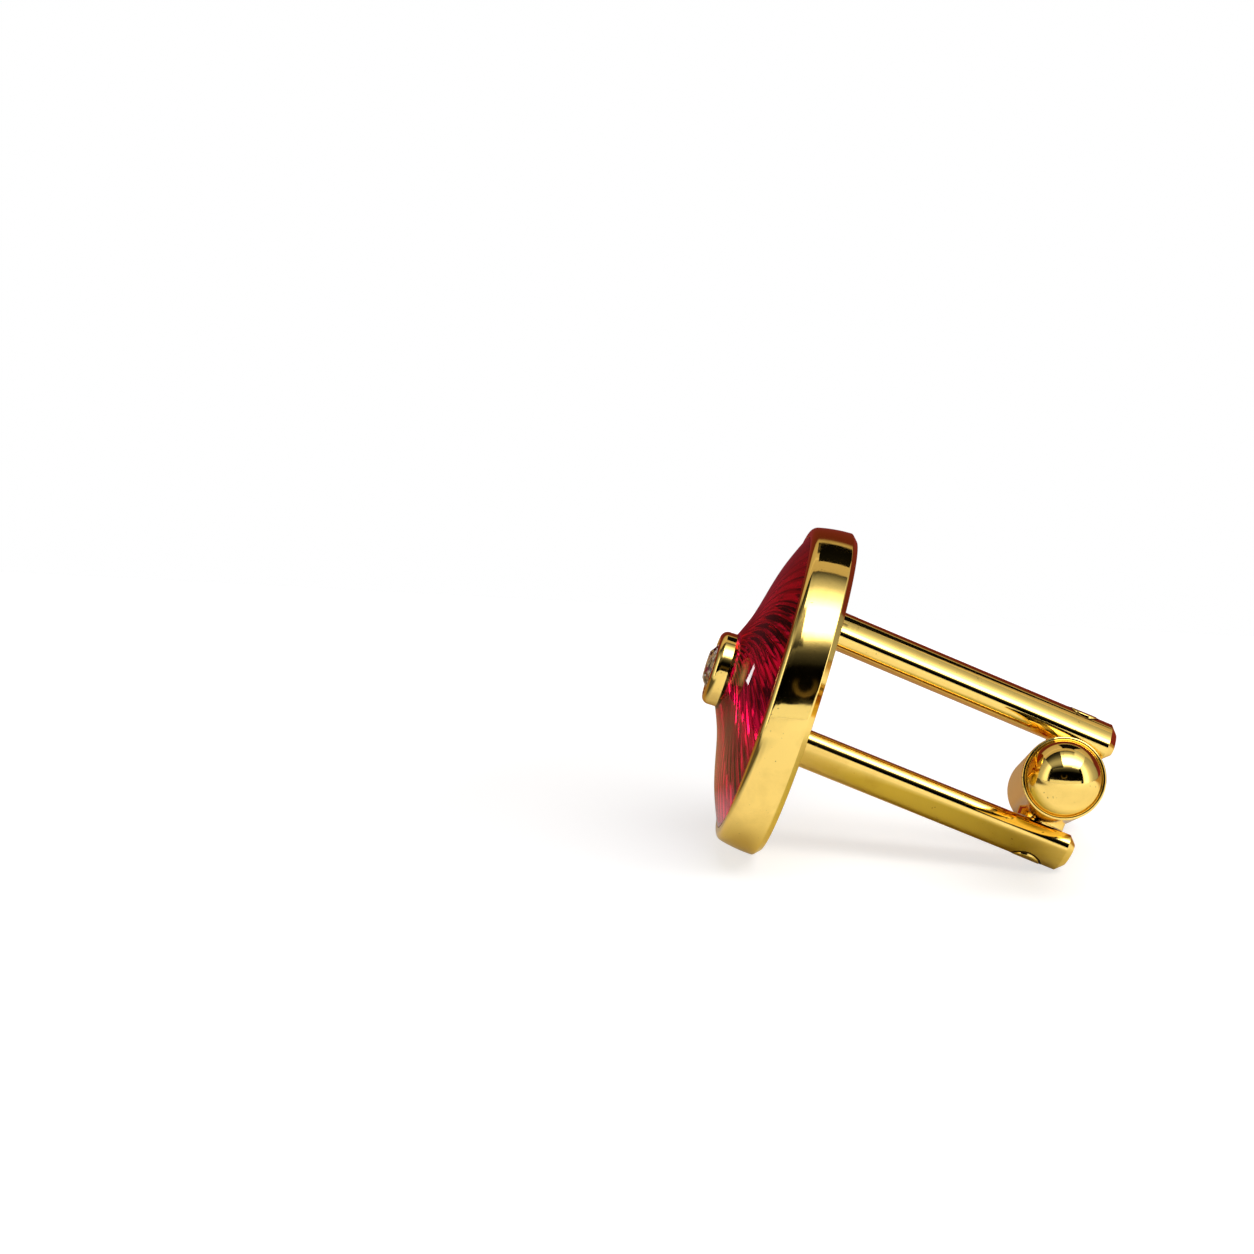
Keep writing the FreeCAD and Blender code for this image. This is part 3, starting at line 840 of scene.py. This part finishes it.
# distance from the spot under the posts, with x squeezed so that the spot is longer than wide
def spotDistance(tree, place):
    stretch = stageFloor["underStretch"]
    spotX, spotY = stageFloor["underPlace"]
    squeezed = addNode(tree, "ShaderNodeVectorMath", {1: (1 / stretch, 1, 1)}, operation="MULTIPLY")
    tree.links.new(place, squeezed.inputs[0])
    distance = addNode(tree, "ShaderNodeVectorMath", {1: (spotX * mm / stretch, spotY * mm, 0)},
                       operation="DISTANCE")
    tree.links.new(squeezed.outputs[0], distance.inputs[0])
    return distance.outputs["Value"]


# floor: a grey diffuse part takes the shadow and a glow makes it white for the camera; metal and glass find it
# paler, but with painted shade: warm behind the object, dark beside the dial and olive in a stretched spot under
# the posts
def floorMaterial(name):
    material, tree, surface = stageMaterial(name)
    place = objectPlace(tree)
    split = addNode(tree, "ShaderNodeSeparateXYZ")
    tree.links.new(place, split.inputs[0])
    x, y = split.outputs[0], split.outputs[1]
    behind = zoneShare(tree, y, stageFloor["behindEdges"])
    leftward = zoneShare(tree, x, stageFloor["leftEdges"])
    left = mathNode(tree, "MULTIPLY", leftward, zoneShare(tree, y, stageFloor["leftFront"]))
    under = zoneShare(tree, spotDistance(tree, place), stageFloor["underEdges"])
    # painted shade that only mirrors see: behind the object, beside the dial and in the spot under the posts
    colour = mixedColour(tree, left, stageFloor["mirroredColour"], stageFloor["leftShadeColour"])
    colour = mixedColour(tree, behind, colour, stageFloor["behindShadeColour"])
    colour = mixedColour(tree, under, colour, stageFloor["underColour"])
    ray = addNode(tree, "ShaderNodeLightPath")
    mirror = mathNode(tree, "MAXIMUM", ray.outputs["Is Glossy Ray"], ray.outputs["Is Transmission Ray"])
    diffuse = addNode(tree, "ShaderNodeBsdfDiffuse")
    tree.links.new(mixedColour(tree, mirror, stageFloor["colour"], colour), diffuse.inputs["Color"])
    zones = mathNode(tree, "MAXIMUM", mathNode(tree, "MAXIMUM", behind, under), left)
    mirrorGlow = mapped(tree, zones, (0.0, 1.0), (stageFloor["mirroredGlow"], 0.0))
    distance = addNode(tree, "ShaderNodeVectorMath", operation="LENGTH")
    tree.links.new(place, distance.inputs[0])
    glowEdges = [edge * mm for edge in stageFloor["glowEdges"]]
    seenGlow = mapped(tree, distance.outputs["Value"], glowEdges, stageFloor["glow"])
    seen = mathNode(tree, "MULTIPLY", ray.outputs["Is Camera Ray"], seenGlow)
    glow = addNode(tree, "ShaderNodeEmission", {"Color": (1, 1, 1, 1)})
    tree.links.new(mathNode(tree, "MULTIPLY_ADD", mirror, mirrorGlow, seen), glow.inputs["Strength"])
    both = addNode(tree, "ShaderNodeAddShader")
    tree.links.new(diffuse.outputs[0], both.inputs[0])
    tree.links.new(glow.outputs[0], both.inputs[1])
    tree.links.new(both.outputs[0], surface)
    return material


floorSide = stageFloor["size"]
floorCorners = levelCorners((-floorSide, floorSide), (-floorSide, stageFloor["back"]), 0)
stageCard("floor", floorCorners, floorMaterial("floor_white"))

tent = {
    "side": 150.0,
    "sideFront": -112.0,
    "front": -145.0,
    "back": 67.0,
    "top": 150.0,
    "frontStrip": 23.0,      # height of the white strip in front
    "frontTop": 95.0,        # where the front begins again over the opening
    "flag": -22.0,           # left of it the ceiling is dimmed to the share below
    "flagShare": 0.06,
    "brightSide": 60.0,      # right of it the ceiling stays bright to the back
    "hang": 1.0,             # how far the window and the lamp hang in front of the back and under the top
}
window = {"left": -4.0, "low": 72.0, "ceilingFront": 61.0}
lampSpot = {"x": (-56.0, -53.0), "z": (6.0, 10.0)}
side, front, back, top = tent["side"], tent["front"], tent["back"], tent["top"]
flag, bright = tent["flag"], tent["brightSide"]
width, depth, height = (-side, side), (front, back), (0, top)
sideReach = (tent["sideFront"], back)
windowWidth = (window["left"], bright)
hungBack, hungTop = back - tent["hang"], top - tent["hang"]


# lamp behind the ceiling: brightest in front of the object, then dark up to a cream strip along the back
def ceilingStops(share):
    lamp = [(front, 0.2), (-126, 1.0), (-110, 4.0), (-90, 7.0), (-65, 7.5), (-45, 5.2), (-25, 2.3), (0, 0.7),
            (20, 0.25), (32, 0.02)]
    cream = [(33, (0.55, 0.46, 0.34)), (back, (0.6, 0.5, 0.38))]
    return greyStops(*[(where, share * level) for where, level in lamp]) + cream


# each panel's corners, the coordinate its light follows and the light's stops
panels = {
    "tent_top": (levelCorners((flag, bright), depth, top), 1, ceilingStops(1.0)),
    "tent_top_right": (levelCorners((bright, side), depth, top), 1, greyStops(
        (front, 0.2), (-110, 4.0), (-65, 7.5), (-25, 2.4), (0, 1.2), (30, 0.65), (back, 0.4))),
    "tent_top_left": (levelCorners((-side, flag), depth, top), 1, ceilingStops(tent["flagShare"])),
    "tent_left": (sideCorners(-side, sideReach, height), 1, greyStops(
        (tent["sideFront"], 1.2), (-90, 1.6), (-70, 1.4), (-40, 0.6), (0, 0.4), (40, 0.12), (back, 0.05))),
    "tent_right": (sideCorners(side, sideReach, height), 1, greyStops(
        (tent["sideFront"], 1.2), (-90, 1.8), (-70, 2.2), (-40, 1.0), (0, 0.5), (back, 0.3))),
    "tent_back": (acrossCorners(width, back, height), 2, [
        (0, (0.24, 0.03, 0.045)), (25, (0.17, 0.03, 0.03)), (60, (0.13, 0.025, 0.02)),
        (67, (0.5, 0.42, 0.33)), (130, (0.6, 0.5, 0.4)), (top, (0.85, 0.75, 0.6))]),
    "tent_window": (acrossCorners(windowWidth, hungBack, (window["low"], hungTop)), 2, greyStops(
        (window["low"], 0.002), (hungTop, 0.006))),
    "tent_window_top": (levelCorners(windowWidth, (window["ceilingFront"], back), hungTop), 1, greyStops(
        (window["ceilingFront"], 0.004), (back, 0.002))),
    "tent_lamp": (acrossCorners(lampSpot["x"], hungBack, lampSpot["z"]), 2, greyStops(
        (lampSpot["z"][0], 5.0), (lampSpot["z"][1], 4.0))),
    "tent_front_top": (acrossCorners(width, front, (tent["frontTop"], top)), 2, greyStops(
        (tent["frontTop"], 0.0), (130, 0.06), (top, 0.2))),
    "tent_front": (acrossCorners(width, front, (0, tent["frontStrip"])), 2, greyStops(
        (0, 1.0), (tent["frontStrip"], 0.95))),
}
for name, (corners, axis, stops) in panels.items():
    card = stageCard(name, corners, cardLight(name + "_light", axis, stops))
    card.visible_camera = False

lens = {
    "inner": 15.0,
    "outer": 23.0,
    "place": (-10.1, -142.0, 58.0),
    "lowColour": (0.13, 0.09, 0.04),
    "middleColour": (0.05, 0.035, 0.01),
    "darkFrom": 12.0,        # above the middle
    "columns": 48,
}


# ring of the lens behind the camera, as mirrors find it: two circles joined, lit from below
def lensRing(name):
    angle = np.linspace(0, 2 * np.pi, lens["columns"], endpoint=False)[None, :]
    radius = np.array([lens["inner"], lens["outer"]])[:, None]
    x, y, z = lens["place"]
    across = x + radius * np.cos(angle)
    grid = np.stack([across, np.full_like(across, y), z + radius * np.sin(angle)], -1)
    mesh = surfaceMesh(name, grid * mm)
    mesh.materials.append(cardLight(name + "_light", 2, [
        (z - lens["outer"], lens["lowColour"]),
        (z, lens["middleColour"]),
        (z + lens["darkFrom"], (0, 0, 0)),
    ]))
    ring = bpy.data.objects.new(name, mesh)
    bpy.context.scene.collection.objects.link(ring)
    return ring


lensRing("lens_ring").visible_camera = False
print("stage made")


world = bpy.data.worlds.new("studio")
bpy.context.scene.world = world
world.use_nodes = True
background = world.node_tree.nodes["Background"]
background.inputs["Color"].default_value = (1, 1, 1, 1)
worldRay = addNode(world.node_tree, "ShaderNodeLightPath")
world.node_tree.links.new(worldRay.outputs["Is Camera Ray"], background.inputs["Strength"])


# camera: place and directions in the row frame, millimetres
view = {
    "place": (-10.119, -137.2388, 38.2635),
    "right": (0.998125, 0.041482, 0.045012),
    "up": (-0.052136, 0.190834, 0.980236),
    "lens": 78.947,
    "sensor": 36.0,
    "clip": (1.0, 10000.0),
}
camera = bpy.data.cameras.new("camera")
camera.lens = view["lens"]
camera.sensor_width = view["sensor"]
camera.clip_start = view["clip"][0] * mm
camera.clip_end = view["clip"][1] * mm
cameraFrame = squareFrame(np.array(view["place"]) * mm, view["right"], view["up"])
turn = np.eye(4)
turn[:3, 0], turn[:3, 1], turn[:3, 2] = cameraFrame["x"], cameraFrame["z"], -cameraFrame["y"]
turn[:3, 3] = cameraFrame["origin"]
cameraObject = bpy.data.objects.new("camera", camera)
bpy.context.scene.collection.objects.link(cameraObject)
cameraObject.matrix_world = Matrix(turn.tolist())
bpy.context.scene.camera = cameraObject
bpy.context.scene.view_settings.view_transform = "Standard"
